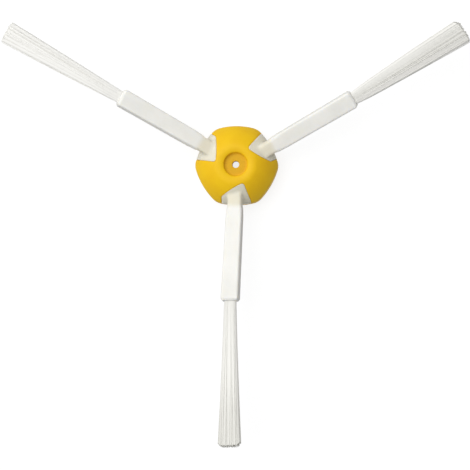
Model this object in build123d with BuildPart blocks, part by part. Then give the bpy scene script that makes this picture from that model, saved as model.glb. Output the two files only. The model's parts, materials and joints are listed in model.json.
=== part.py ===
# Side brush of a robot vacuum: a domed hub, three soft arms moulded into its notches, a bristle tuft in each arm.
# Millimetres and degrees. +Z is the hub's axis, from the mouth of the drive socket to the domed screw side.
from build123d import *
from math import acos, asin, atan2, cos, degrees, radians, sin, sqrt, tan
import os

# Hub outline along the axis: six bowed sides that meet in rounded corners
SIDE_REACH = 11.9
CORNER_SWELL = 0.8
CORNER_ROUND = 4.5
CORNER_COUNT = 6

# Dome: a spherical cap over the straight side wall
DOME_OVERREACH = 2.1
DOME_APEX = 13.0

# Screw seat sunk into the top of the dome
SCREW_HOLE_RADIUS = 1.05
SCREW_WEB = 3.7
HEAD_RECESS_RADIUS = 3.6
RECESS_SINK = 2.7
LIP_WIDTH = 1.5
LIP_ROUND = 3.2

# Square drive socket in the underside
SOCKET_SIDE = 6.2
SOCKET_CORNER = 0.5
SOCKET_LEAD_IN = 0.4

# Cored pockets in the underside, between the arms
CORE_WALL = 1.6
CORE_DEPTH = 6.0
CORE_CORNER = 0.6

# Notch that holds an arm's root, as seen along the axis with the arm pointing along +X
NOTCH_HALF_WIDTH = 4.4
NOTCH_LIP_GAP = 0.5
NOTCH_APEX_SIDE = 2.4
NOTCH_HEEL_DEPTH = 2.3
NOTCH_SHOULDER_DEPTH = 1.0
NOTCH_BOW = 0.25
NOTCH_ROUND = 0.8
NOTCH_FLOOR = 3.0
NOTCH_RUNOUT = 1.0

# Peg of each arm, moulded through the floor of its notch
PEG_SETBACK = 2.7
PEG_RADIUS = 1.2

# Arms: evenly spaced around the axis, and the sideways shift and lean that each soft strap has taken
ARM_KEYS = ("a", "b", "c")
FIRST_HEADING = 270.0
ARM_OFFSETS = {"a": -0.25, "b": -0.65, "c": -0.25}
ARM_LEANS = {"a": -2.5, "b": -0.5, "c": 0.2}
ARM_RISE = 10.0
ARM_ROLL = 15.0
ARM_DROP = 3.6
ARM_CLEARANCE = 0.2

# Strap sections: a neck inside the notch, then a strap that widens towards its end
NECK_WIDTH = 4.5
NECK_THICKNESS = 2.7
STRAP_ROOT_WIDTH = 5.0
STRAP_ROOT_THICKNESS = 2.9
STRAP_END_WIDTH = 5.5
STRAP_END_THICKNESS = 3.2
STRAP_ROUND = 0.6
STRAP_LENGTHS = {"a": 29.0, "b": 28.3, "c": 27.7}
NECK_BITE = 0.5
END_BEVEL = 0.4
END_BEVEL_LENGTH = 0.7

# Pocket in the strap's end, filled by the bound root of the tuft
POCKET_SIDE_WALL = 0.8
POCKET_FACE_WALL = 0.75
POCKET_DEPTH = 7.0

# Tufts: straight filaments that fan out from the root
TUFT_LENGTHS = {"a": 44.8, "b": 39.7, "c": 40.0}
TUFT_TURNS = {"a": 0.25, "b": 0.9, "c": 0.25}
TUFT_TIP_WIDTHS = {"a": 6.9, "b": 7.6, "c": 6.8}
TUFT_TIP_THICKNESS = 2.4
FILAMENT_RADIUS = 0.15
FILAMENT_SIDES = 5
FILAMENT_PITCH = 0.4
FILAMENT_INSET = 0.08
FILAMENT_BITE = 0.6
FILAMENT_UNEVENNESS = 0.5

arm_headings = {key: FIRST_HEADING + number * 360 / len(ARM_KEYS) for number, key in enumerate(ARM_KEYS)}
corner_reach = SIDE_REACH + CORNER_SWELL
dome_radius = SIDE_REACH + DOME_OVERREACH
dome_centre = DOME_APEX - dome_radius
lip_reach = HEAD_RECESS_RADIUS + LIP_WIDTH
lip_height = dome_centre + sqrt((dome_radius - LIP_ROUND) ** 2 - lip_reach ** 2)
lip_angle = degrees(atan2(lip_height - dome_centre, lip_reach))
wall_angle = degrees(acos(-LIP_WIDTH / LIP_ROUND))
recess_floor = DOME_APEX - RECESS_SINK
socket_depth = recess_floor - SCREW_WEB
foot_angle = degrees(asin(-dome_centre / dome_radius))
boss_reach = SOCKET_SIDE / sqrt(2) + CORE_WALL
apex_reach = lip_reach + NOTCH_LIP_GAP
peg_reach = SIDE_REACH - PEG_SETBACK
shoulder_reach = corner_reach + ARM_CLEARANCE
shoulder_height = DOME_APEX - ARM_DROP
neck_reach = shoulder_reach - apex_reach
neck_start_height = shoulder_height - neck_reach * tan(radians(ARM_RISE))
neck_length = neck_reach / cos(radians(ARM_RISE)) + NECK_BITE
notch_end = shoulder_reach + NOTCH_RUNOUT
tuft_width = STRAP_END_WIDTH - 2 * POCKET_SIDE_WALL
tuft_thickness = STRAP_END_THICKNESS - 2 * POCKET_FACE_WALL
seat_limit = tuft_thickness / 2 - FILAMENT_RADIUS - FILAMENT_INSET
root_half_width = tuft_width / 2 - FILAMENT_RADIUS - FILAMENT_INSET
CENTRED_ABOVE = (Align.CENTER, Align.CENTER, Align.MIN)


def polar(reach, angle):
    """Point of the base plane at a reach and an angle around the axis."""
    return (reach * cos(radians(angle)), reach * sin(radians(angle)))


def arm_plane(heading):
    """Base plane turned so that its X axis runs along an arm."""
    return Plane(origin=(0, 0, 0), x_dir=(*polar(1, heading), 0), z_dir=(0, 0, 1))


def strap_direction(heading):
    """Unit vector along a strap that rises away from the base plane."""
    flat_x, flat_y = polar(cos(radians(ARM_RISE)), heading)
    return Vector(flat_x, flat_y, sin(radians(ARM_RISE)))


def strap_plane(origin, heading):
    """Plane square to a strap, its X axis across the strap and rolled with it."""
    along = strap_direction(heading)
    across = Vector(*polar(1, heading + 90), 0)
    rolled = across * cos(radians(ARM_ROLL)) + along.cross(across) * sin(radians(ARM_ROLL))
    return Plane(origin=origin, x_dir=rolled, z_dir=along)


def filament_seats():
    """Seats of the filaments across a tuft's root, in rows that fill its slot."""
    row_pitch = FILAMENT_PITCH * sin(radians(60))
    row_count = int(2 * seat_limit / row_pitch) + 1
    for row in range(row_count):
        up = (row - (row_count - 1) / 2) * row_pitch
        half_row = (tuft_width - tuft_thickness) / 2 + sqrt(seat_limit**2 - up**2)
        seat_count = int(2 * half_row / FILAMENT_PITCH) + 1
        for seat in range(seat_count):
            yield (seat - (seat_count - 1) / 2) * FILAMENT_PITCH, up


def within_socket(edge):
    """Whether an edge of the underside lies round the drive socket."""
    return edge.center().length < boss_reach


os.makedirs("parts", exist_ok=True)

# Outline of the hub
with BuildSketch() as outline:
    with BuildLine():
        for corner in range(CORNER_COUNT):
            side_start, side_middle, side_end = ((corner + step) * 360 / CORNER_COUNT for step in (0, 0.5, 1))
            ThreePointArc(
                polar(corner_reach, side_start),
                polar(SIDE_REACH, side_middle),
                polar(corner_reach, side_end),
            )
    make_face()
    fillet(outline.vertices(), CORNER_ROUND)

# Plan of the notch: a slanting long edge, an apex beside the arm and a short edge
with BuildSketch() as notch:
    with BuildLine():
        long_edge = SagittaArc(
            (SIDE_REACH - NOTCH_HEEL_DEPTH, -NOTCH_HALF_WIDTH),
            (apex_reach, NOTCH_APEX_SIDE),
            NOTCH_BOW,
        )
        Polyline(
            long_edge @ 1,
            (SIDE_REACH - NOTCH_SHOULDER_DEPTH, NOTCH_HALF_WIDTH),
            (notch_end, NOTCH_HALF_WIDTH),
            (notch_end, -NOTCH_HALF_WIDTH),
            long_edge @ 0,
        )
    make_face()
    fillet(notch.vertices().group_by(Axis.X)[:-1], NOTCH_ROUND)

# Plan of the notch with the walls around it
with BuildSketch() as notch_walls:
    add(notch.sketch)
    offset(amount=CORE_WALL)

# Outer form of the hub with its sunk screw seat; the flush roots of the arms share it
with BuildPart() as envelope:
    with BuildSketch(Plane.XZ):
        with BuildLine():
            lip = CenterArc((lip_reach, lip_height), LIP_ROUND, wall_angle, lip_angle - wall_angle)
            dome = CenterArc((0, dome_centre), dome_radius, lip_angle, foot_angle - lip_angle)
            Polyline(dome @ 1, (0, 0), (0, recess_floor), (HEAD_RECESS_RADIUS, recess_floor), lip @ 0)
        make_face()
    revolve(axis=Axis.Z)
    extrude(outline.sketch, amount=DOME_APEX, mode=Mode.INTERSECT)

# Hub
with BuildPart() as hub:
    add(envelope.part)
    for heading in arm_headings.values():
        with BuildSketch(arm_plane(heading).offset(NOTCH_FLOOR)):
            add(notch.sketch)
    extrude(amount=DOME_APEX, mode=Mode.SUBTRACT)
    with Locations((0, 0, recess_floor)):
        Hole(SCREW_HOLE_RADIUS, depth=SCREW_WEB)
    with BuildSketch():
        RectangleRounded(SOCKET_SIDE, SOCKET_SIDE, SOCKET_CORNER)
    extrude(amount=socket_depth, mode=Mode.SUBTRACT)
    socket_mouth = hub.edges().filter_by_position(Axis.Z, 0, 0).filter_by(within_socket)
    chamfer(socket_mouth, SOCKET_LEAD_IN)
    with BuildSketch() as cores:
        Circle(SIDE_REACH - CORE_WALL)
        Circle(boss_reach, mode=Mode.SUBTRACT)
        for heading in arm_headings.values():
            add(notch_walls.sketch, rotation=heading, mode=Mode.SUBTRACT)
        offset(amount=-CORE_CORNER, mode=Mode.REPLACE)
        offset(amount=CORE_CORNER, mode=Mode.REPLACE)
    extrude(amount=CORE_DEPTH, mode=Mode.SUBTRACT)
    with PolarLocations(peg_reach, len(ARM_KEYS), start_angle=FIRST_HEADING):
        Cylinder(PEG_RADIUS, NOTCH_FLOOR, align=CENTRED_ABOVE, mode=Mode.SUBTRACT)
hub.part.label = "hub"
export_step(hub.part, "parts/hub.step")

# Arms and tufts
for key, heading in arm_headings.items():
    floor_plane = arm_plane(heading).offset(NOTCH_FLOOR)
    neck_start = arm_plane(heading).from_local_coords((apex_reach, ARM_OFFSETS[key], neck_start_height))
    shoulder = arm_plane(heading).from_local_coords((shoulder_reach, ARM_OFFSETS[key], shoulder_height))
    lean = heading + ARM_LEANS[key]
    strap_end = shoulder + strap_direction(lean) * STRAP_LENGTHS[key]
    strap_sections = (
        (0, STRAP_ROOT_WIDTH, STRAP_ROOT_THICKNESS),
        (STRAP_LENGTHS[key] - END_BEVEL_LENGTH, STRAP_END_WIDTH, STRAP_END_THICKNESS),
        (STRAP_LENGTHS[key], STRAP_END_WIDTH - 2 * END_BEVEL, STRAP_END_THICKNESS - 2 * END_BEVEL),
    )
    end_plane = strap_plane(strap_end, lean)

    # Neck, from the notch's inner walls to just past the shoulder
    with BuildPart() as neck:
        with BuildSketch(strap_plane(neck_start, heading)):
            RectangleRounded(NECK_WIDTH, NECK_THICKNESS, STRAP_ROUND)
        extrude(amount=neck_length)
        with BuildSketch(floor_plane):
            add(notch.sketch)
        extrude(amount=2 * DOME_APEX, mode=Mode.INTERSECT)

    # Arm: a root flush with the dome, the neck that grows out of it, the strap and the peg
    with BuildPart() as arm:
        add(envelope.part)
        with BuildSketch(floor_plane):
            add(notch.sketch)
        extrude(amount=2 * DOME_APEX, mode=Mode.INTERSECT)
        add(neck.part)
        for along, width, thickness in strap_sections:
            with BuildSketch(strap_plane(shoulder + strap_direction(lean) * along, lean)):
                RectangleRounded(width, thickness, STRAP_ROUND)
        loft(ruled=True)
        with BuildSketch(end_plane):
            SlotOverall(tuft_width, tuft_thickness)
        extrude(amount=-POCKET_DEPTH, mode=Mode.SUBTRACT)
        with Locations(arm_plane(heading).from_local_coords((peg_reach, 0, 0))):
            Cylinder(PEG_RADIUS, NOTCH_FLOOR, align=CENTRED_ABOVE)
    arm.part.label = f"soft_arm_{key}"
    export_step(arm.part, f"parts/soft_arm_{key}.step")

    # Tuft: a bound root that fills the strap's pocket, and filaments that fan out of it
    fan_plane = strap_plane(strap_end, heading + TUFT_TURNS[key])
    across_spread = (TUFT_TIP_WIDTHS[key] / 2 - FILAMENT_RADIUS) / root_half_width
    up_spread = (TUFT_TIP_THICKNESS / 2 - FILAMENT_RADIUS) / seat_limit
    with BuildPart() as tuft:
        with BuildSketch(end_plane):
            SlotOverall(tuft_width, tuft_thickness)
        extrude(amount=-POCKET_DEPTH)
        for number, (across, up) in enumerate(filament_seats()):
            length = TUFT_LENGTHS[key] - FILAMENT_UNEVENNESS * (1 + sin(number * number)) / 2
            seat = end_plane.from_local_coords((across, up, -FILAMENT_BITE))
            tip = fan_plane.from_local_coords((across * across_spread, up * up_spread, length))
            with BuildSketch(Plane(origin=seat, z_dir=tip - seat)):
                RegularPolygon(FILAMENT_RADIUS, FILAMENT_SIDES)
            extrude(amount=(tip - seat).length)
    tuft.part.label = f"bristle_tuft_{key}"
    export_step(tuft.part, f"parts/bristle_tuft_{key}.step")
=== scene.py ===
"""Dresses the side brush of a robot vacuum: a moulded hub, three soft arms and three bristle tufts."""

import json
import logging
import math
import random
from dataclasses import dataclass, field
from enum import Enum
from typing import Iterator

import bmesh
import bpy
from mathutils import Matrix, Vector

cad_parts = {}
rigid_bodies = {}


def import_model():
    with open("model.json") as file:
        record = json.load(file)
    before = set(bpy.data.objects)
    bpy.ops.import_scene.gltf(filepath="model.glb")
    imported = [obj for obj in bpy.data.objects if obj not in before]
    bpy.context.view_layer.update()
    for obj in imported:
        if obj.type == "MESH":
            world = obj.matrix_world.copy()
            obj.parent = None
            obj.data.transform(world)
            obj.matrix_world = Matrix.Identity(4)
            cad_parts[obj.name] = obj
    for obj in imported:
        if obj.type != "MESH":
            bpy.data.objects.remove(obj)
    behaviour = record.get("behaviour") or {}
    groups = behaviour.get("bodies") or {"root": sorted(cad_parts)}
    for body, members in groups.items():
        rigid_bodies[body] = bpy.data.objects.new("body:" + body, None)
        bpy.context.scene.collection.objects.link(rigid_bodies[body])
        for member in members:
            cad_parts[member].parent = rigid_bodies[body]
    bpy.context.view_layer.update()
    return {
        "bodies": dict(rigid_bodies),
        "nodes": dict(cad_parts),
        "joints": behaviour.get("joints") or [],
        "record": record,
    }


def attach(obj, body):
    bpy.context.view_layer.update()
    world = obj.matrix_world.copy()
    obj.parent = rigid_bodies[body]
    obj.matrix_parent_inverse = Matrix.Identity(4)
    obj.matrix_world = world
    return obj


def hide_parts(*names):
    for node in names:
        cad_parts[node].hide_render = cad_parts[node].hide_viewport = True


logging.basicConfig(level=logging.INFO, format="%(message)s")
log = logging.getLogger("side_brush")

Colour = tuple[float, float, float, float]

MM = 0.001
WHITE: Colour = (1.0, 1.0, 1.0, 1.0)
STRAND_TONE = "strand_tone"

# Points of a CAD node nearer than this, in millimetres, are one point.
MERGE_MM = 0.001

# How far one smoothing pass moves a vertex towards its neighbours' middle.
FLOW_STEP = 0.5

# Multiplied with a place, this drops its height and keeps how far it lies from the hub's axis.
DROP_HEIGHT = (1.0, 1.0, 0.0)

# A Mix node's colour sockets by place, because its other kinds use the same names.
MIX_FIRST, MIX_SECOND, MIX_RESULT = 6, 7, 2


class ArmKey(Enum):
    """The three arms: the letter in their CAD nodes' names and their heading round the hub in degrees."""

    A = ("a", 270.0)
    B = ("b", 30.0)
    C = ("c", 150.0)

    @property
    def letter(self) -> str:
        """The letter at the end of the arm's node names."""
        return self.value[0]

    @property
    def heading(self) -> float:
        """The arm's direction from the hub's axis, in degrees."""
        return self.value[1]


def to_linear(hex_code: str) -> Colour:
    """Turns an sRGB hex colour into linear light, with the numbers of the sRGB standard.

    Args:
        hex_code: Six hex digits, such as "F0BE14".

    Returns:
        Red, green, blue and an alpha of 1.
    """
    parts = [int(hex_code[i:i + 2], 16) / 255 for i in (0, 2, 4)]
    linear = [p / 12.92 if p <= 0.04045 else ((p + 0.055) / 1.055) ** 2.4 for p in parts]
    return linear[0], linear[1], linear[2], 1.0


def grey(level: float) -> Colour:
    """Gives an even grey in linear light, with an alpha of 1."""
    return level, level, level, 1.0


def per_metre(pattern_mm: float) -> float:
    """Gives the texture scale at which a pattern repeats about every so many millimetres."""
    return 1 / (pattern_mm * MM)


def ease(value: float, start: float, end: float) -> float:
    """Gives the height of a soft step, 0 at its start and 1 at its end, which may lie below its start."""
    way = min(max((value - start) / (end - start), 0.0), 1.0)
    return way * way * (3 - 2 * way)


def add_node(
    tree: bpy.types.NodeTree,
    kind: str,
    settings: dict[str, object] | None = None,
    values: dict[str | int, object] | None = None,
    links: dict[str | int, bpy.types.NodeSocket] | None = None,
) -> bpy.types.Node:
    """Adds one shader node.

    Args:
        tree: The node tree that takes the node.
        kind: The node's type name.
        settings: The node's own properties.
        values: Constant input values, by the socket's name or place.
        links: Output sockets of other nodes, by the name or place of the input that they feed.

    Returns:
        The new node.
    """
    node = tree.nodes.new(kind)
    for name, value in (settings or {}).items():
        setattr(node, name, value)
    for name, value in (values or {}).items():
        node.inputs[name].default_value = value
    for name, source in (links or {}).items():
        tree.links.new(source, node.inputs[name])
    return node


def new_surface(name: str) -> tuple[bpy.types.Material, bpy.types.NodeTree, bpy.types.Node]:
    """Starts a material with a principled shader.

    Args:
        name: The material's name.

    Returns:
        The material, its tree and the principled shader.
    """
    material = bpy.data.materials.new(name)
    material.use_nodes = True
    tree = material.node_tree
    return material, tree, tree.nodes["Principled BSDF"]


@dataclass(frozen=True)
class MouldedFinish:
    """What the brush's mouldings share: two clouded tones, a painted shade near the hub's axis and a fine
    mould grain.

    Attributes:
        colour: The main tone, as a hex code.
        deep_colour: The tone of the darker clouds.
        painted_shade_colour: The painted shade near the hub's axis, darker than the main tone.
        painted_shade_mm: The distances from the axis at which the painted shade is still full and at which it
            is gone.
        cloud_mm: The clouds' size.
        cloud_detail: How many finer layers the clouds have.
        cloud_breakup: How strong each finer layer is.
        cloud_steps: The places in the clouds' range where the deep tone ends and the main tone begins.
        roughness: The smoothest the surface gets.
        roughness_swing: How much rougher it gets with the clouds.
        ior: The material's index of refraction.
        grain_mm: The grain's spacing, drawn coarser than life so that it shows.
        grain_depth_mm: The grain's depth.
        grain_strength: How strongly the grain turns the light.
        grain_detail: How many finer layers the grain has.
    """

    colour: str
    deep_colour: str
    painted_shade_colour: str
    painted_shade_mm: tuple[float, float]
    cloud_mm: float
    cloud_detail: float
    cloud_breakup: float
    cloud_steps: tuple[float, float]
    roughness: float
    roughness_swing: float
    ior: float
    grain_mm: float
    grain_depth_mm: float
    grain_strength: float
    grain_detail: float = 2.0

    def painted_shade_over(
        self, tree: bpy.types.NodeTree, place: bpy.types.NodeSocket, base: bpy.types.NodeSocket
    ) -> bpy.types.NodeSocket:
        """Lays the painted shade over a colour near the hub's axis.

        Args:
            tree: The material's tree.
            place: The object's coordinates.
            base: The colour.

        Returns:
            The shaded colour's socket.
        """
        # Painted shade: a darker colour laid over the surface within a distance of the hub's axis.
        flat = add_node(tree, "ShaderNodeVectorMath", {"operation": "MULTIPLY"}, {1: DROP_HEIGHT}, {0: place})
        reach = add_node(
            tree, "ShaderNodeVectorMath", {"operation": "LENGTH"}, None, {0: flat.outputs["Vector"]}
        )
        full, gone = (distance * MM for distance in self.painted_shade_mm)
        shade_mask = add_node(
            tree, "ShaderNodeMapRange", {"interpolation_type": "SMOOTHSTEP"},
            {"From Min": full, "From Max": gone, "To Min": 1.0, "To Max": 0.0},
            {"Value": reach.outputs["Value"]},
        )
        mix = add_node(
            tree, "ShaderNodeMix", {"data_type": "RGBA"}, {MIX_SECOND: to_linear(self.painted_shade_colour)},
            {"Factor": shade_mask.outputs["Result"], MIX_FIRST: base},
        )
        return mix.outputs[MIX_RESULT]

    def moulded_surface(self, name: str) -> tuple[bpy.types.Material, bpy.types.Node]:
        """Makes the part of the finish that all the mouldings share.

        Args:
            name: The material's name.

        Returns:
            The material and its principled shader.
        """
        material, tree, shader = new_surface(name)
        place = add_node(tree, "ShaderNodeTexCoord").outputs["Object"]
        cloud = add_node(
            tree, "ShaderNodeTexNoise", None,
            {"Scale": per_metre(self.cloud_mm), "Detail": self.cloud_detail, "Roughness": self.cloud_breakup},
            {"Vector": place},
        )
        tone = add_node(tree, "ShaderNodeValToRGB", None, None, {"Fac": cloud.outputs["Fac"]})
        colours = (self.deep_colour, self.colour)
        for stop, position, colour in zip(tone.color_ramp.elements, self.cloud_steps, colours):
            stop.position = position
            stop.color = to_linear(colour)
        gloss = add_node(
            tree, "ShaderNodeMapRange", None,
            {"To Min": self.roughness, "To Max": self.roughness + self.roughness_swing},
            {"Value": cloud.outputs["Fac"]},
        )
        grain = add_node(
            tree, "ShaderNodeTexNoise", None,
            {"Scale": per_metre(self.grain_mm), "Detail": self.grain_detail}, {"Vector": place},
        )
        bump = add_node(
            tree, "ShaderNodeBump", None,
            {"Strength": self.grain_strength, "Distance": self.grain_depth_mm * MM},
            {"Height": grain.outputs["Fac"]},
        )
        tree.links.new(self.painted_shade_over(tree, place, tone.outputs["Color"]), shader.inputs["Base Color"])
        tree.links.new(gloss.outputs["Result"], shader.inputs["Roughness"])
        tree.links.new(bump.outputs["Normal"], shader.inputs["Normal"])
        shader.inputs["IOR"].default_value = self.ior
        return material, shader


@dataclass(frozen=True)
class MouldedHubPlastic(MouldedFinish):
    """Yellow ABS from a fine-spark mould: a satin gloss that breaks up a little over the dome.

    Its painted shade is a deeper yellow over the screw seat, where the recess lies in shade.

    Attributes:
        gloss: The strength of the shine.
    """

    colour: str = "F1C30C"
    deep_colour: str = "ECBA08"
    # Painted shade: a deeper yellow over the screw seat's recess.
    painted_shade_colour: str = "DBA90E"
    painted_shade_mm: tuple[float, float] = (3.3, 3.7)
    cloud_mm: float = 6.0
    cloud_detail: float = 3.0
    cloud_breakup: float = 0.55
    cloud_steps: tuple[float, float] = (0.30, 0.58)
    roughness: float = 0.52
    roughness_swing: float = 0.10
    ior: float = 1.46
    grain_mm: float = 0.5
    grain_depth_mm: float = 0.012
    grain_strength: float = 0.35
    gloss: float = 0.3

    def make(self) -> bpy.types.Material:
        """Makes the hub's finish.

        Returns:
            The finish.
        """
        material, shader = self.moulded_surface("moulded_abs_yellow")
        shader.inputs["Specular IOR Level"].default_value = self.gloss
        return material


@dataclass(frozen=True)
class SoftArmRubber(MouldedFinish):
    """White TPE, moulded soft: matt and a little see-through.

    Its painted shade is a darker, yellowish cream round the arms' roots: painted shade and a painted yellow
    reflection of the hub where the necks sit in its notches.

    Attributes:
        glow: How much of the light goes through the skin.
        glow_mm: How deep it goes.
        glow_spread: How deep the red, green and blue go, as shares of that.
    """

    colour: str = "F1F0EB"
    deep_colour: str = "ECEBE5"
    # Painted shade and painted yellow reflection of the hub round the arms' roots.
    painted_shade_colour: str = "E5E0CE"
    painted_shade_mm: tuple[float, float] = (11.4, 13.6)
    cloud_mm: float = 7.0
    cloud_detail: float = 4.0
    cloud_breakup: float = 0.6
    cloud_steps: tuple[float, float] = (0.32, 0.60)
    roughness: float = 0.52
    roughness_swing: float = 0.12
    ior: float = 1.49
    grain_mm: float = 0.6
    grain_depth_mm: float = 0.01
    grain_strength: float = 0.3
    glow: float = 0.7
    glow_mm: float = 0.9
    glow_spread: tuple[float, float, float] = (1.0, 0.95, 0.85)

    def make(self) -> bpy.types.Material:
        """Makes the arms' finish.

        Returns:
            The finish.
        """
        material, shader = self.moulded_surface("moulded_tpe_white")
        shader.inputs["Subsurface Weight"].default_value = self.glow
        shader.inputs["Subsurface Scale"].default_value = self.glow_mm * MM
        shader.inputs["Subsurface Radius"].default_value = self.glow_spread
        return material


@dataclass(frozen=True)
class DrawnNylon:
    """White nylon monofilament: drawn smooth, a silky gloss, each strand a slightly different white. The
    darker end of its range also carries the tufts' painted shade.

    Attributes:
        light_colour: The lightest strands, as a hex code.
        dark_colour: The darkest ones.
        roughness: The lightest strands' roughness.
        roughness_swing: How much rougher the darkest ones are.
        ior: The material's index of refraction.
    """

    light_colour: str = "FAF9F5"
    dark_colour: str = "D6D5CE"
    roughness: float = 0.34
    roughness_swing: float = 0.1
    ior: float = 1.53

    def make(self) -> bpy.types.Material:
        """Makes the tufts' finish from the tone that each strand carries, painted shade included.

        Returns:
            The finish.
        """
        material, tree, shader = new_surface("drawn_nylon_white")
        strand = add_node(tree, "ShaderNodeAttribute", {"attribute_name": STRAND_TONE})
        tone = add_node(tree, "ShaderNodeValToRGB", None, None, {"Fac": strand.outputs["Fac"]})
        for stop, colour in zip(tone.color_ramp.elements, (self.dark_colour, self.light_colour)):
            stop.color = to_linear(colour)
        gloss = add_node(
            tree, "ShaderNodeMapRange", None,
            {"To Min": self.roughness + self.roughness_swing, "To Max": self.roughness},
            {"Value": strand.outputs["Fac"]},
        )
        tree.links.new(tone.outputs["Color"], shader.inputs["Base Color"])
        tree.links.new(gloss.outputs["Result"], shader.inputs["Roughness"])
        shader.inputs["IOR"].default_value = self.ior
        return material


def link_piece(mesh: bpy.types.Mesh, material: bpy.types.Material) -> bpy.types.Object:
    """Puts a finished mesh into the scene on the root body, shaded smooth.

    Args:
        mesh: The mesh, in the shared frame, with the piece's name.
        material: Its finish.

    Returns:
        The new object.
    """
    mesh.materials.append(material)
    mesh.polygons.foreach_set("use_smooth", [True] * len(mesh.polygons))
    piece = bpy.data.objects.new(mesh.name, mesh)
    bpy.context.scene.collection.objects.link(piece)
    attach(piece, "root")
    return piece


def merged_copy(node: bpy.types.Object) -> bpy.types.Mesh:
    """Copies a CAD node's mesh with its loose triangles merged.

    Args:
        node: The CAD node.

    Returns:
        The merged copy.
    """
    bm = bmesh.new()
    bm.from_mesh(node.data)
    bmesh.ops.remove_doubles(bm, verts=bm.verts, dist=MERGE_MM * MM)
    mesh = bpy.data.meshes.new("rough")
    bm.to_mesh(mesh)
    bm.free()
    return mesh


def modified(
    mesh: bpy.types.Mesh, kind: str, settings: dict[str, object], weights: list[float] | None = None
) -> bpy.types.Mesh:
    """Passes a mesh through one modifier.

    Args:
        mesh: The mesh; it is used up.
        kind: The modifier's type name.
        settings: The modifier's own properties.
        weights: How strongly each vertex takes part; all fully when left out.

    Returns:
        The changed mesh.
    """
    rough = bpy.data.objects.new("rough", mesh)
    bpy.context.scene.collection.objects.link(rough)
    change = rough.modifiers.new("change", kind)
    for name, value in settings.items():
        setattr(change, name, value)
    if weights:
        group = rough.vertex_groups.new(name="share")
        for index, weight in enumerate(weights):
            if weight > 0:
                group.add([index], weight, "REPLACE")
        change.vertex_group = group.name
    changed = bpy.data.meshes.new_from_object(rough.evaluated_get(bpy.context.evaluated_depsgraph_get()))
    bpy.data.objects.remove(rough)
    bpy.data.meshes.remove(mesh)
    return changed


def skinned(node: bpy.types.Object, voxel_mm: float) -> bpy.types.Mesh:
    """Covers a CAD node's form with an even skin, as fine as the voxel."""
    return modified(merged_copy(node), "REMESH", {"mode": "VOXEL", "voxel_size": voxel_mm * MM})


def flowed(mesh: bpy.types.Mesh, passes: int, weights: list[float] | None = None) -> bpy.types.Mesh:
    """Smooths a mesh in so many passes, as melt rounds a moulding's edges, by each vertex's weight."""
    return modified(mesh, "SMOOTH", {"factor": FLOW_STEP, "iterations": passes}, weights)


def rod_mesh(sides: int, steps: int) -> bpy.types.Mesh:
    """Makes a closed straight rod of unit radius that stands on the origin, one unit high.

    Args:
        sides: How many sides round.
        steps: How many steps along.

    Returns:
        The rod's mesh.
    """
    half = 0.5
    bm = bmesh.new()
    bmesh.ops.create_cone(bm, cap_ends=True, segments=sides, radius1=1.0, radius2=1.0, depth=2 * half)
    bmesh.ops.translate(bm, verts=bm.verts, vec=(0, 0, half))
    if steps > 1:
        uprights = [edge for edge in bm.edges if abs(edge.verts[0].co.z - edge.verts[1].co.z) > half]
        bmesh.ops.subdivide_edgering(bm, edges=uprights, interp_mode="LINEAR", cuts=steps - 1)
    for cap in [face for face in bm.faces if abs(face.normal.z) > half]:
        for edge in cap.edges:
            edge.smooth = False
    mesh = bpy.data.meshes.new("rod")
    bm.to_mesh(mesh)
    bm.free()
    return mesh


def add_rod(bm: bmesh.types.BMesh, rod: bpy.types.Mesh) -> list[bmesh.types.BMVert]:
    """Adds a copy of a rod to a mesh.

    Args:
        bm: The mesh that takes it.
        rod: The rod.

    Returns:
        The copy's vertices.
    """
    first = len(bm.verts)
    bm.from_mesh(rod)
    bm.verts.ensure_lookup_table()
    return bm.verts[first:]


def on_slot(place: Vector, half: Vector, along: float) -> Vector:
    """Moves a point of the unit circle on to a round-ended slot of that half width and half thickness."""
    return Vector((place.x * half.y + math.copysign(half.x - half.y, place.x), place.y * half.y, along))


@dataclass
class Hub:
    """The moulded hub: its CAD form with the edges softened as the mould leaves them, most at the dome's rim.

    Lengths are in millimetres.

    Attributes:
        voxel: How fine the skin is.
        edge_passes: How many smoothing passes soften every edge.
        rim_passes: How many more round the dome's rim.
        rim_reach: The distances from the axis between which the rim's rounding comes in.
        rim_height: The heights between which it comes in.
    """

    voxel: float = 0.18
    edge_passes: int = 5
    rim_passes: int = 40
    rim_reach: tuple[float, float] = (10.0, 11.2)
    rim_height: tuple[float, float] = (2.5, 4.5)

    def rim_weight(self, place: Vector) -> float:
        """Tells how strongly the rim is rounded at a point: 1 round the rim, 0 on the dome and the back."""
        return ease(place.xy.length / MM, *self.rim_reach) * ease(place.z / MM, *self.rim_height)

    def build(self, node: bpy.types.Object, plastic: bpy.types.Material) -> bpy.types.Object:
        """Makes the hub's piece.

        Args:
            node: The hub's CAD node.
            plastic: The hub's finish.

        Returns:
            The piece that replaces it.
        """
        mesh = flowed(skinned(node, self.voxel), self.edge_passes)
        mesh = flowed(mesh, self.rim_passes, [self.rim_weight(vert.co) for vert in mesh.vertices])
        mesh.name = "hub_moulding"
        hub = link_piece(mesh, plastic)
        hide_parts(node.name)
        return hub


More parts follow.
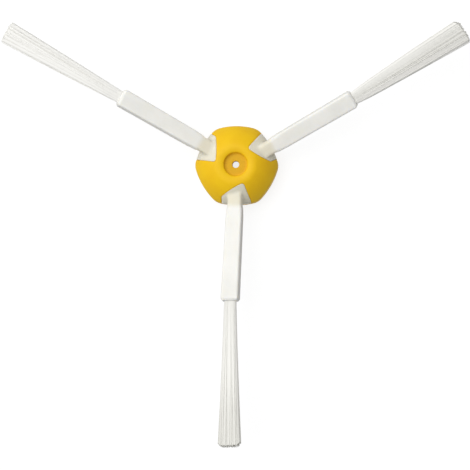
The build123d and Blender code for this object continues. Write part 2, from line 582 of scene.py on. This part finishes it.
@dataclass
class SoftArm:
    """One soft arm: its CAD form gone over as moulded rubber, its edges and inside corners flowed round.

    Lengths are in millimetres. The notch's edges are as seen along the hub's axis with the arm along +X.

    Attributes:
        key: Which arm it is.
        voxel: How fine the skin is.
        edge_passes: How many smoothing passes soften every edge.
        blend_passes: How many more let the neck flow into the root.
        notch_heel: The notch's outer corner on its long side.
        notch_apex: The notch's point, nearest to the hub's axis.
        notch_shoulder: The notch's outer corner on its short side.
        blend_margin: The distances inside the notch's edges between which the flow comes in.
        blend_height: The heights between which it comes in.
        blend_fade: The distances along the arm between which it comes in, towards the hub.
    """

    key: ArmKey
    voxel: float = 0.14
    edge_passes: int = 4
    blend_passes: int = 140
    notch_heel: tuple[float, float] = (9.6, -4.4)
    notch_apex: tuple[float, float] = (5.6, 2.4)
    notch_shoulder: tuple[float, float] = (10.9, 4.4)
    blend_margin: tuple[float, float] = (0.3, 1.0)
    blend_height: tuple[float, float] = (4.0, 5.5)
    blend_fade: tuple[float, float] = (16.0, 13.5)

    def blend_weight(self, place: Vector) -> float:
        """Tells how strongly the rubber flows at a point, so that the neck melts into the root.

        Args:
            place: The point in the shared frame, in metres.

        Returns:
            0 at the notch's edges, on the floor and along the strap; 1 round the neck.
        """
        local = Matrix.Rotation(-math.radians(self.key.heading), 3, "Z") @ place / MM
        inside = self.notch_shoulder[1] - abs(local.y)
        for start, end in ((self.notch_heel, self.notch_apex), (self.notch_apex, self.notch_shoulder)):
            run = (Vector(end) - Vector(start)).normalized()
            inside = min(inside, (local.x - start[0]) * run.y - (local.y - start[1]) * run.x)
        above = ease(local.z, *self.blend_height)
        return ease(inside, *self.blend_margin) * above * ease(local.x, *self.blend_fade)

    def build(self, node: bpy.types.Object, rubber: bpy.types.Material) -> bpy.types.Object:
        """Makes the arm's piece.

        Args:
            node: The arm's CAD node.
            rubber: The arms' finish.

        Returns:
            The piece that replaces it.
        """
        mesh = flowed(skinned(node, self.voxel), self.edge_passes)
        mesh = flowed(mesh, self.blend_passes, [self.blend_weight(vert.co) for vert in mesh.vertices])
        mesh.name = f"soft_arm_{self.key.letter}_rubber"
        arm = link_piece(mesh, rubber)
        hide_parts(node.name)
        return arm


@dataclass
class BristleTuft:
    """One tuft: a bound root in the strap's pocket and a fan of fine strands over a packed core.

    Lengths are in millimetres and angles in degrees. A place in the fan is given across it, through its
    thickness and along it.

    Attributes:
        key: Which arm the tuft is on.
        strap_offset: How far beside the hub's axis the strap starts.
        strap_length: The strap's length from its shoulder.
        lean: The strap's turn from the arm's heading.
        turn: The fan's turn from the arm's heading.
        length: The fan's length from the strap's end.
        tip_width: The fan's width at its tip.
        splay: How the fan opens: evenly at 1, late above it and early below it.
        corners: How much the tip's two corners are rounded off.
        tone: The strands' tone, from dark at 0 to light at 1; the three tufts' tones differ as painted shade,
            each matched to how brightly its tuft is lit.
        tip_painted_shade: The share of that tone that the tips lose, painted shade where the thinning strands
            shadow each other.
        seed: The seed of the tuft's own chance.
        strays: How far beside the fan the tip of each stray strand stands, and to which side.
        shoulder_reach: How far from the hub's axis the strap starts.
        shoulder_height: How high it starts.
        strap_rise: How steeply it rises.
        strap_roll: How far it is rolled about its own line.
        root_width: The width of the slot-shaped root.
        root_thickness: The root's thickness.
        root_depth: How deep the root goes into the strap.
        root_sink: How far its end stays inside the strap's.
        root_sides: How many sides the root has.
        tip_thickness: The fan's thickness at its tip.
        bulge: How full the fan's lens-shaped section is: 0 is a box and a half is an ellipse.
        lens_edge: How far the strands' section thins at its sides, where 1 is to nothing.
        strand_radius: A strand's radius.
        strand_pitch: How far apart the strands sit in the root.
        row_angle: The angle at which their rows are packed.
        row_spread: How much more the rows open than the fan does, so that the outer ones show on the core.
        strand_sides: How many sides a strand has.
        strand_steps: How many steps along it.
        strand_bite: How far it reaches into the strap.
        strand_unevenness: How much shorter a strand may be than its neighbours.
        strand_bow: How far it may bow.
        strand_drift: How far its tip may drift across the fan and through its thickness.
        stray_loss: How much shorter a stray strand is than the fan.
        tip_spare: How much shorter all the others are at least.
        tone_swing: The least and the most that is added to the tuft's tone for a strand.
        corner_power: How closely the rounding keeps to the tip's corners.
        tip_shade_way: The shares of the length between which the tips' painted shade comes in.
        core_inset: How far the core lies inside the fan.
        core_reach: The share of the fan's length that it fills.
        core_sides: How many sides the core has.
        core_steps: How many steps along it.
        root_frame: The frame of the strap's end.
        fan_frame: The frame that the fan's tip lies in.
    """

    key: ArmKey
    strap_offset: float
    strap_length: float
    lean: float
    turn: float
    length: float
    tip_width: float
    splay: float
    corners: tuple[float, float]
    tone: float
    tip_painted_shade: float
    seed: int
    strays: tuple[float, ...] = ()
    shoulder_reach: float = 12.9
    shoulder_height: float = 9.4
    strap_rise: float = 10.0
    strap_roll: float = 15.0
    root_width: float = 3.9
    root_thickness: float = 1.7
    root_depth: float = 6.5
    root_sink: float = 0.15
    root_sides: int = 24
    tip_thickness: float = 2.36
    bulge: float = 0.2
    lens_edge: float = 0.97
    strand_radius: float = 0.09
    strand_pitch: float = 0.23
    row_angle: float = 60.0
    row_spread: float = 1.18
    strand_sides: int = 5
    strand_steps: int = 8
    strand_bite: float = 0.6
    strand_unevenness: float = 0.35
    strand_bow: float = 0.12
    strand_drift: tuple[float, float] = (0.5, 0.15)
    stray_loss: float = 0.75
    tip_spare: float = 0.15
    tone_swing: tuple[float, float] = (-0.4, 0.2)
    corner_power: int = 6
    tip_shade_way: tuple[float, float] = (0.45, 0.85)
    core_inset: float = 0.12
    core_reach: float = 0.985
    core_sides: int = 32
    core_steps: int = 14
    root_frame: Matrix = field(init=False)
    fan_frame: Matrix = field(init=False)

    def __post_init__(self) -> None:
        """Sets the frame of the strap's end and the frame that the fan's tip lies in."""
        heading = self.key.heading
        about_hub = Matrix.Rotation(math.radians(heading), 4, "Z")
        shoulder = about_hub @ Vector((self.shoulder_reach, self.strap_offset, self.shoulder_height))
        along = self.strap_matrix(Vector(), heading + self.lean).col[2].to_3d()
        end = shoulder + along * self.strap_length
        self.root_frame = self.strap_matrix(end, heading + self.lean)
        self.fan_frame = self.strap_matrix(end, heading + self.turn)

    def strap_matrix(self, origin: Vector, heading: float) -> Matrix:
        """Gives the frame square to the strap: X across it and rolled, Z along it.

        Args:
            origin: The frame's origin in millimetres.
            heading: The direction along the strap, in degrees round the hub's axis.

        Returns:
            The frame as a 4x4 matrix.
        """
        turn, rise, roll = (math.radians(angle) for angle in (heading, self.strap_rise, self.strap_roll))
        along = Vector((math.cos(turn) * math.cos(rise), math.sin(turn) * math.cos(rise), math.sin(rise)))
        across = Vector((-math.sin(turn), math.cos(turn), 0))
        rolled = across * math.cos(roll) + along.cross(across) * math.sin(roll)
        frame = Matrix((rolled, along.cross(rolled), along)).transposed().to_4x4()
        return Matrix.Translation(origin) @ frame

    def inner(self, inset: float) -> tuple[Vector, Vector]:
        """Gives the fan's half sizes less an inset.

        Args:
            inset: How far inside the fan's outside.

        Returns:
            The half width and half thickness at the root, then at the tip.
        """
        edge = Vector((inset, inset))
        root = Vector((self.root_width, self.root_thickness)) / 2 - edge
        tip = Vector((self.tip_width, self.tip_thickness)) / 2 - edge
        return root, tip

    def fanned(self, seat: Vector, tip: Vector, way: float) -> Vector:
        """Gives a point of the fan, which opens out along its length.

        Args:
            seat: The place at the fan's root.
            tip: The place at the fan's tip.
            way: How far from root to tip, from 0 to 1.

        Returns:
            The point in the shared frame, in millimetres.
        """
        opening = self.fan_frame.to_3x3() @ Vector((tip.x - seat.x, tip.y - seat.y, 0))
        straight = (self.root_frame @ seat).lerp(self.fan_frame @ tip, way)
        return straight + opening * (way ** self.splay - way)

    def corner_loss(self, side: float) -> float:
        """Gives how much shorter the fan is at a place across it, from -1 to 1, than in its middle."""
        return self.corners[side > 0] * abs(side) ** self.corner_power

    def tip_shaded(self, shade: float, way: float) -> float:
        """Gives a strand's tone on the way from root to tip, 0 to 1, darker towards the tip as painted shade
        where the strands thin out and shadow each other.
        """
        return shade * (1 - self.tip_painted_shade * ease(way, *self.tip_shade_way))

    def seats(self) -> Iterator[tuple[float, float]]:
        """Gives the strands' seats over the root's slot, in rows.

        Yields:
            The place across the strap and the place through its thickness.
        """
        reach = self.root_thickness / 2 - self.strand_radius
        row_pitch = self.strand_pitch * math.sin(math.radians(self.row_angle))
        rows = int(2 * reach / row_pitch) + 1
        for row in range(rows):
            up = (row - (rows - 1) / 2) * row_pitch
            half = (self.root_width - self.root_thickness) / 2 + math.sqrt(max(reach ** 2 - up ** 2, 0))
            count = int(2 * half / self.strand_pitch) + 1
            for column in range(count):
                yield (column - (count - 1) / 2) * self.strand_pitch, up

    def plans(self, chance: random.Random) -> Iterator[tuple[Vector, Vector]]:
        """Gives the ends of each strand: those of the fan, each drifting a little, then the strays beside it.

        Args:
            chance: The tuft's own chance.

        Yields:
            The place at the fan's root and the place at its tip.
        """
        root, tip = self.inner(self.strand_radius)
        for across, up in self.seats():
            drift = [chance.uniform(-most, most) for most in self.strand_drift]
            side = min(max(across / root.x + drift[0] / tip.x, -1), 1)
            height = min(max(self.row_spread * up / root.y + drift[1] / tip.y, -1), 1)
            lens = (1 - self.lens_edge * side ** 2) ** self.bulge
            loss = self.tip_spare + self.corner_loss(side) + self.strand_unevenness * chance.random()
            yield (Vector((across, up * lens, -self.strand_bite)),
                   Vector((side * tip.x, height * lens * tip.y, self.length - loss)))
        for stray in self.strays:
            side = math.copysign(1, stray)
            yield (Vector((side * root.x, 0, -self.strand_bite)),
                   Vector((side * tip.x + stray, 0, self.length - self.stray_loss)))

    def add_root(self, bm: bmesh.types.BMesh) -> None:
        """Adds the bound root that fills the strap's pocket.

        Args:
            bm: The tuft's mesh.
        """
        tone = bm.verts.layers.float[STRAND_TONE]
        half, _ = self.inner(0)
        rod = rod_mesh(self.root_sides, 1)
        for vert in add_rod(bm, rod):
            along = (self.root_depth - self.root_sink) * vert.co.z - self.root_depth
            vert.co = self.root_frame @ on_slot(vert.co, half, along) * MM
            vert[tone] = self.tone
        bpy.data.meshes.remove(rod)

    def add_core(self, bm: bmesh.types.BMesh) -> None:
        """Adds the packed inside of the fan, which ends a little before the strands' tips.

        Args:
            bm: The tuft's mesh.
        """
        tone = bm.verts.layers.float[STRAND_TONE]
        root_half, tip_half = self.inner(self.core_inset)
        rod = rod_mesh(self.core_sides, self.core_steps)
        for vert in add_rod(bm, rod):
            way = self.core_reach * vert.co.z
            side = vert.co.x
            up = math.copysign(abs(vert.co.y) ** (2 * self.bulge), vert.co.y)
            seat = Vector((side * root_half.x, up * root_half.y, -self.strand_bite))
            tip = Vector((side * tip_half.x, up * tip_half.y, self.length - self.corner_loss(side)))
            vert.co = self.fanned(seat, tip, way) * MM
            # Painted shade: the tone darkens towards the tip.
            vert[tone] = self.tip_shaded(self.tone, way)
        bpy.data.meshes.remove(rod)

    def add_strands(self, bm: bmesh.types.BMesh) -> None:
        """Adds the strands, each bowed a little and with its own tone.

        Args:
            bm: The tuft's mesh.
        """
        chance = random.Random(self.seed)
        tone = bm.verts.layers.float[STRAND_TONE]
        rod = rod_mesh(self.strand_sides, self.strand_steps)
        for seat, tip in self.plans(chance):
            lie = (self.fan_frame @ tip - self.root_frame @ seat).to_track_quat("Z", "Y").to_matrix()
            bow = lie @ Vector((chance.uniform(-1, 1), chance.uniform(-1, 1), 0)) * self.strand_bow
            shade = self.tone + chance.uniform(*self.tone_swing)
            for vert in add_rod(bm, rod):
                way = vert.co.z
                section = lie @ Vector((vert.co.x, vert.co.y, 0)) * self.strand_radius
                vert.co = (self.fanned(seat, tip, way) + section + bow * math.sin(math.pi * way)) * MM
                vert[tone] = self.tip_shaded(shade, way)
        bpy.data.meshes.remove(rod)

    def build(self, node: bpy.types.Object, nylon: bpy.types.Material) -> bpy.types.Object:
        """Makes the tuft's piece.

        Args:
            node: The tuft's CAD node.
            nylon: The tufts' finish.

        Returns:
            The piece that replaces it.
        """
        bm = bmesh.new()
        bm.verts.layers.float.new(STRAND_TONE)
        self.add_root(bm)
        self.add_core(bm)
        self.add_strands(bm)
        mesh = bpy.data.meshes.new(f"bristle_tuft_{self.key.letter}_strands")
        bm.to_mesh(mesh)
        bm.free()
        tuft = link_piece(mesh, nylon)
        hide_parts(node.name)
        return tuft


def brush_tufts() -> tuple[BristleTuft, ...]:
    """Gives the three tufts with what sets each one apart.

    Returns:
        The tufts of arms A, B and C.
    """
    return (
        # The tufts' tones and tip shade differ as painted shade, matched to how brightly each tuft is lit.
        BristleTuft(
            ArmKey.A, strap_offset=-0.25, strap_length=29.0, lean=-2.5, turn=0.25, length=44.8, tip_width=7.2,
            splay=1.15, corners=(1.0, 1.0), tone=0.5, tip_painted_shade=0.7, seed=11,
        ),
        BristleTuft(
            ArmKey.B, strap_offset=-0.65, strap_length=28.3, lean=-0.5, turn=0.9, length=39.7, tip_width=7.7,
            splay=0.65, corners=(0.5, 1.2), tone=0.55, tip_painted_shade=0.1, seed=12, strays=(-0.3,),
        ),
        BristleTuft(
            ArmKey.C, strap_offset=-0.25, strap_length=27.7, lean=0.2, turn=0.25, length=40.0, tip_width=7.0,
            splay=1.0, corners=(0.5, 0.2), tone=1.0, tip_painted_shade=0.0, seed=13, strays=(0.3,),
        ),
    )


def show_backdrop(
    tree: bpy.types.NodeTree, output: str, lit: bpy.types.NodeSocket, seen: bpy.types.NodeSocket
) -> None:
    """Ends a tree with one shader for the rays that see the backdrop and another for all the rest.

    Args:
        tree: The floor's or the world's tree.
        output: The type name of its output node.
        lit: The shader that lights the brush.
        seen: The shader that camera, glossy and transmission rays see.
    """
    rays = add_node(tree, "ShaderNodeLightPath")
    seeing = rays.outputs["Is Camera Ray"]
    for kind in ("Is Glossy Ray", "Is Transmission Ray"):
        either = add_node(
            tree, "ShaderNodeMath", {"operation": "MAXIMUM"}, None, {0: seeing, 1: rays.outputs[kind]}
        )
        seeing = either.outputs["Value"]
    mix = add_node(tree, "ShaderNodeMixShader", None, None, {0: seeing, 1: lit, 2: seen})
    add_node(tree, output, None, None, {"Surface": mix.outputs["Shader"]})


@dataclass
class Studio:
    """White floor, soft light from the upper left and a camera high above.

    Lengths are in metres unless the name says otherwise.

    Attributes:
        floor_half: Half the floor's width.
        floor_shadow: The grey that takes the brush's shadow where the floor is seen.
        floor_glow: The white that is added to it.
        floor_bounce: The grey that throws light back on to the brush.
        sky_strength: The strength of the even light.
        key_power: The key lamp's power in watts.
        key_size: The lamp's width.
        key_place: Where the lamp hangs; it shines at the origin.
        view_aim: The point in the middle of the picture.
        view_slant: The camera's slant from straight above, along X and Y, for a rise of 1.
        view_width: The picture's width at that point.
        camera_distance: The camera's distance from it.
        camera_clip: The nearest and the furthest that the camera sees.
        sensor_mm: The camera's sensor width in millimetres.
    """

    floor_half: float = 3.0
    floor_shadow: float = 0.22
    floor_glow: float = 0.84
    floor_bounce: float = 0.5
    sky_strength: float = 0.36
    key_power: float = 7.0
    key_size: float = 0.9
    key_place: tuple[float, float, float] = (-0.35, 0.235, 0.75)
    view_aim: tuple[float, float, float] = (0.00023, -0.02175, 0.020)
    view_slant: tuple[float, float] = (0.045, -0.042)
    view_width: float = 0.141
    camera_distance: float = 1.5
    camera_clip: tuple[float, float] = (0.1, 10.0)
    sensor_mm: float = 36.0

    def floor_finish(self) -> bpy.types.Material:
        """Makes the floor's finish: white to the camera, with the brush's faint shadow kept.

        Returns:
            The finish.
        """
        material = bpy.data.materials.new("white_floor")
        material.use_nodes = True
        tree = material.node_tree
        tree.nodes.clear()
        shadowed = add_node(tree, "ShaderNodeBsdfDiffuse", None, {"Color": grey(self.floor_shadow)})
        glow = add_node(tree, "ShaderNodeEmission", None, {"Color": WHITE, "Strength": self.floor_glow})
        seen = add_node(
            tree, "ShaderNodeAddShader", None, None,
            {0: shadowed.outputs["BSDF"], 1: glow.outputs["Emission"]},
        )
        bounce = add_node(tree, "ShaderNodeBsdfDiffuse", None, {"Color": grey(self.floor_bounce)})
        show_backdrop(tree, "ShaderNodeOutputMaterial", bounce.outputs["BSDF"], seen.outputs["Shader"])
        return material

    def build_floor(self) -> None:
        """Lays the floor."""
        bm = bmesh.new()
        bmesh.ops.create_grid(bm, x_segments=1, y_segments=1, size=self.floor_half)
        mesh = bpy.data.meshes.new("floor")
        bm.to_mesh(mesh)
        bm.free()
        mesh.materials.append(self.floor_finish())
        floor = bpy.data.objects.new("floor", mesh)
        bpy.context.scene.collection.objects.link(floor)

    def build_sky(self) -> None:
        """Sets the sky: an even light on the brush, and white where it is seen."""
        world = bpy.data.worlds.new("studio")
        bpy.context.scene.world = world
        world.use_nodes = True
        tree = world.node_tree
        tree.nodes.clear()
        even = add_node(tree, "ShaderNodeBackground", None, {"Color": WHITE, "Strength": self.sky_strength})
        white = add_node(tree, "ShaderNodeBackground", None, {"Color": WHITE, "Strength": 1.0})
        show_backdrop(tree, "ShaderNodeOutputWorld", even.outputs["Background"], white.outputs["Background"])

    def build_key(self) -> None:
        """Hangs the soft key lamp at the upper left."""
        key = bpy.data.lights.new("key", "AREA")
        key.size = self.key_size
        key.energy = self.key_power
        lamp = bpy.data.objects.new("key", key)
        lamp.location = self.key_place
        lamp.rotation_mode = "QUATERNION"
        lamp.rotation_quaternion = (-Vector(self.key_place)).to_track_quat("-Z", "Y")
        bpy.context.scene.collection.objects.link(lamp)

    def build_camera(self) -> None:
        """Sets the camera high above and a little to the lower right, framed to the picture's width at its
        aim.
        """
        camera = bpy.data.cameras.new("camera")
        camera.sensor_width = self.sensor_mm
        camera.lens = self.sensor_mm * self.camera_distance / self.view_width
        camera.clip_start, camera.clip_end = self.camera_clip
        back = Vector((*self.view_slant, 1.0)).normalized()
        right = Vector((0.0, 1.0, 0.0)).cross(back).normalized()
        turn = Matrix((right, back.cross(right), back)).transposed().to_4x4()
        eye = bpy.data.objects.new("camera", camera)
        eye.matrix_world = Matrix.Translation(Vector(self.view_aim) + back * self.camera_distance) @ turn
        bpy.context.scene.collection.objects.link(eye)
        bpy.context.scene.camera = eye
        bpy.context.scene.view_settings.view_transform = "Standard"

    def build(self) -> None:
        """Sets up the floor, the light and the camera."""
        self.build_floor()
        self.build_sky()
        self.build_key()
        self.build_camera()


def main() -> None:
    """Builds the pieces in order, then the studio, and notes the sizes."""
    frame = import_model()
    nodes = frame["nodes"]
    pieces = [Hub().build(nodes["hub"], MouldedHubPlastic().make())]
    rubber = SoftArmRubber().make()
    for key in ArmKey:
        pieces.append(SoftArm(key).build(nodes[f"soft_arm_{key.letter}"], rubber))
    nylon = DrawnNylon().make()
    for tuft in brush_tufts():
        pieces.append(tuft.build(nodes[f"bristle_tuft_{tuft.key.letter}"], nylon))
    for piece in pieces:
        log.info("%s: %d faces", piece.name, len(piece.data.polygons))
    Studio().build()
    bpy.context.view_layer.update()


if __name__ == "__main__":
    main()
